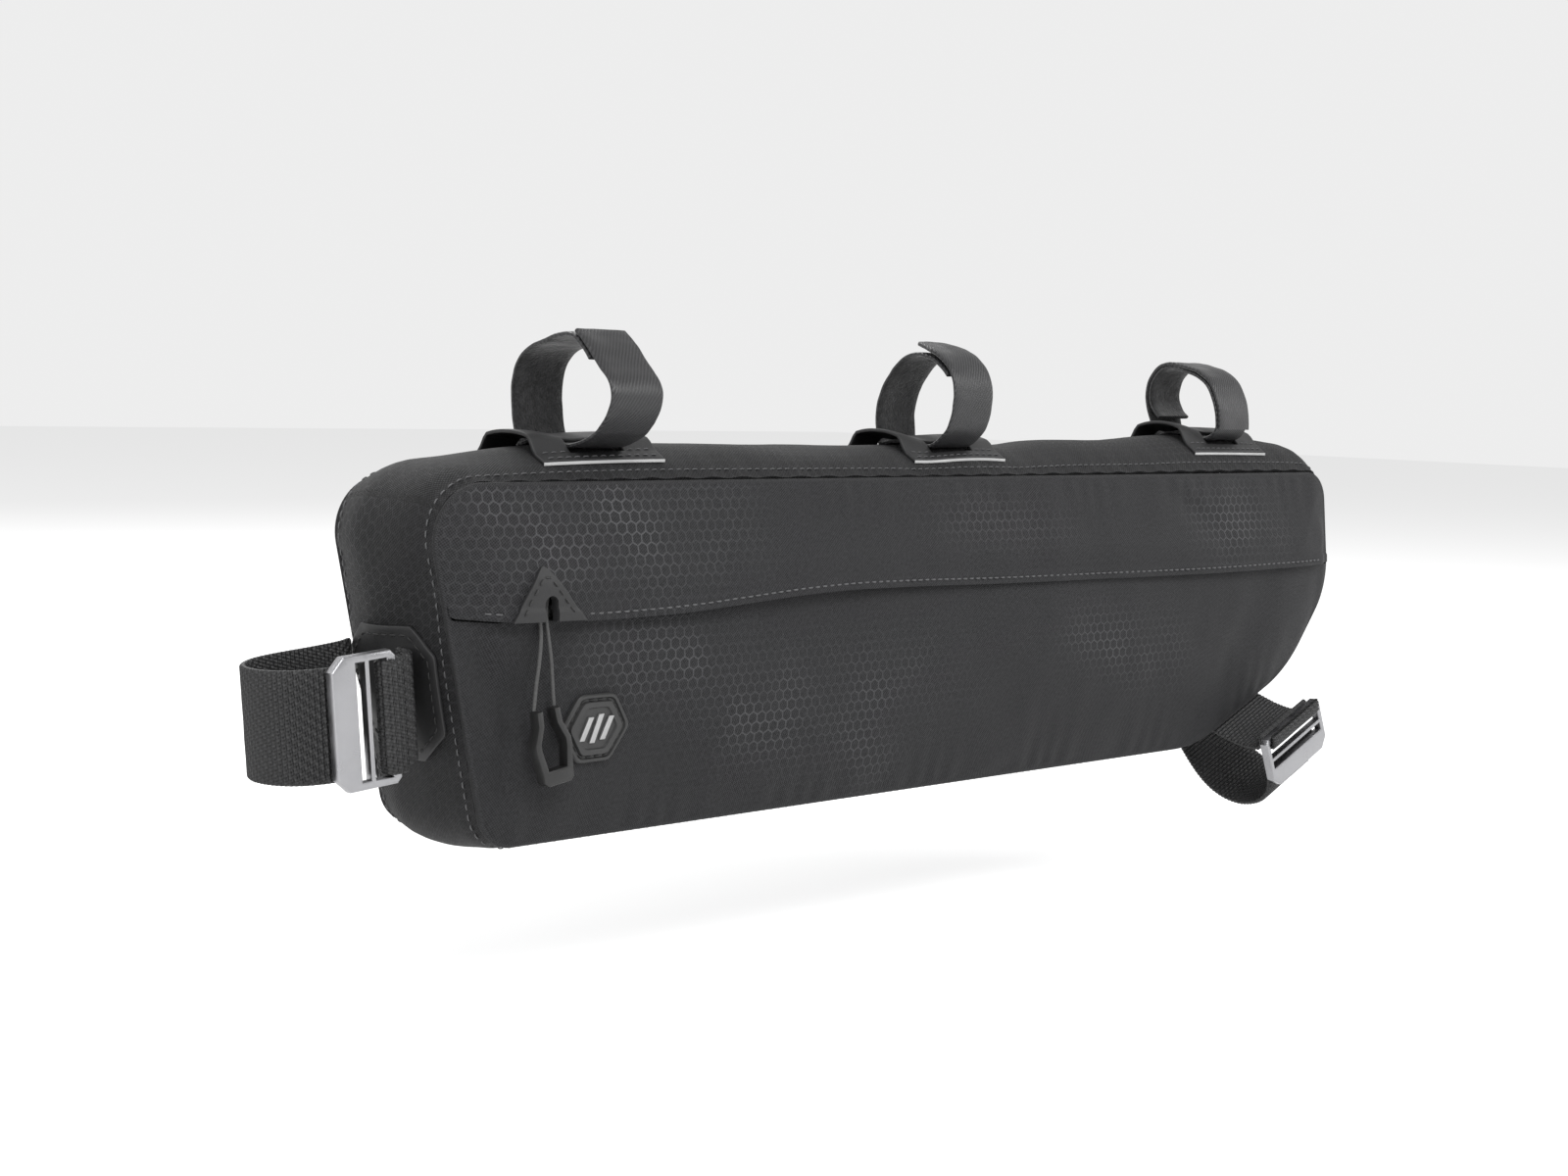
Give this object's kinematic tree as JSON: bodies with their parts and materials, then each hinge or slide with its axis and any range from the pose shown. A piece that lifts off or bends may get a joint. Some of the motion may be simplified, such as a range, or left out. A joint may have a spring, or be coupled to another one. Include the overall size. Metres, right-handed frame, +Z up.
{
  "type": "bicycle frame bag",
  "caption": "Long, narrow, zipped frame bag for a bicycle, with loops for the top tube and buckled webbing for the seat tube and the down tube.",
  "frame": {"origin": "Middle of the middle top strap's loop, on the axis of the top tube that the bag hangs from.", "axes": "+X runs along the top tube to the front of the bicycle, +Y points to the side away from the zip, and +Z is up."},
  "size_m": [0.5102, 0.0857, 0.1827],
  "materials": {
    "bag_fabric": "charcoal woven polyester with a fine hexagon weave",
    "band_fabric": "black woven polyester",
    "coated_patch": "smooth coated synthetic, matt",
    "strap_tape": "hook-and-loop tape, satin twill outside and pile inside",
    "webbing": "ribbed black webbing",
    "zip_tape": "black zip",
    "rubber": "moulded rubber",
    "inlay": "silver inlay",
    "cord": "thin braided cord",
    "moulding": "moulded dark plastic",
    "buckle_metal": "bead-blasted",
    "slider_metal": "black enamel"
  },
  "bodies": {
    "root": {"upper_panel": "bag_fabric", "lower_panel": "bag_fabric", "back_panel": "bag_fabric", "gusset": "band_fabric", "zip_tape": "zip_tape", "zip_slider": "slider_metal", "zip_garage": "coated_patch", "pull_cord": "cord", "zip_pull": "moulding", "badge": "rubber", "badge_inlay": "inlay", "top_strap_rear": "strap_tape", "top_strap_middle": "strap_tape", "top_strap_front": "strap_tape", "strap_anchor_rear": "coated_patch", "strap_anchor_middle": "coated_patch", "strap_anchor_front": "coated_patch", "rear_anchor_patch": "coated_patch", "seat_tube_strap": "webbing", "seat_tube_tab": "webbing", "seat_tube_buckle": "buckle_metal", "down_tube_strap": "webbing", "down_tube_tab": "webbing", "down_tube_buckle": "buckle_metal"}
  },
  "joints": []
}
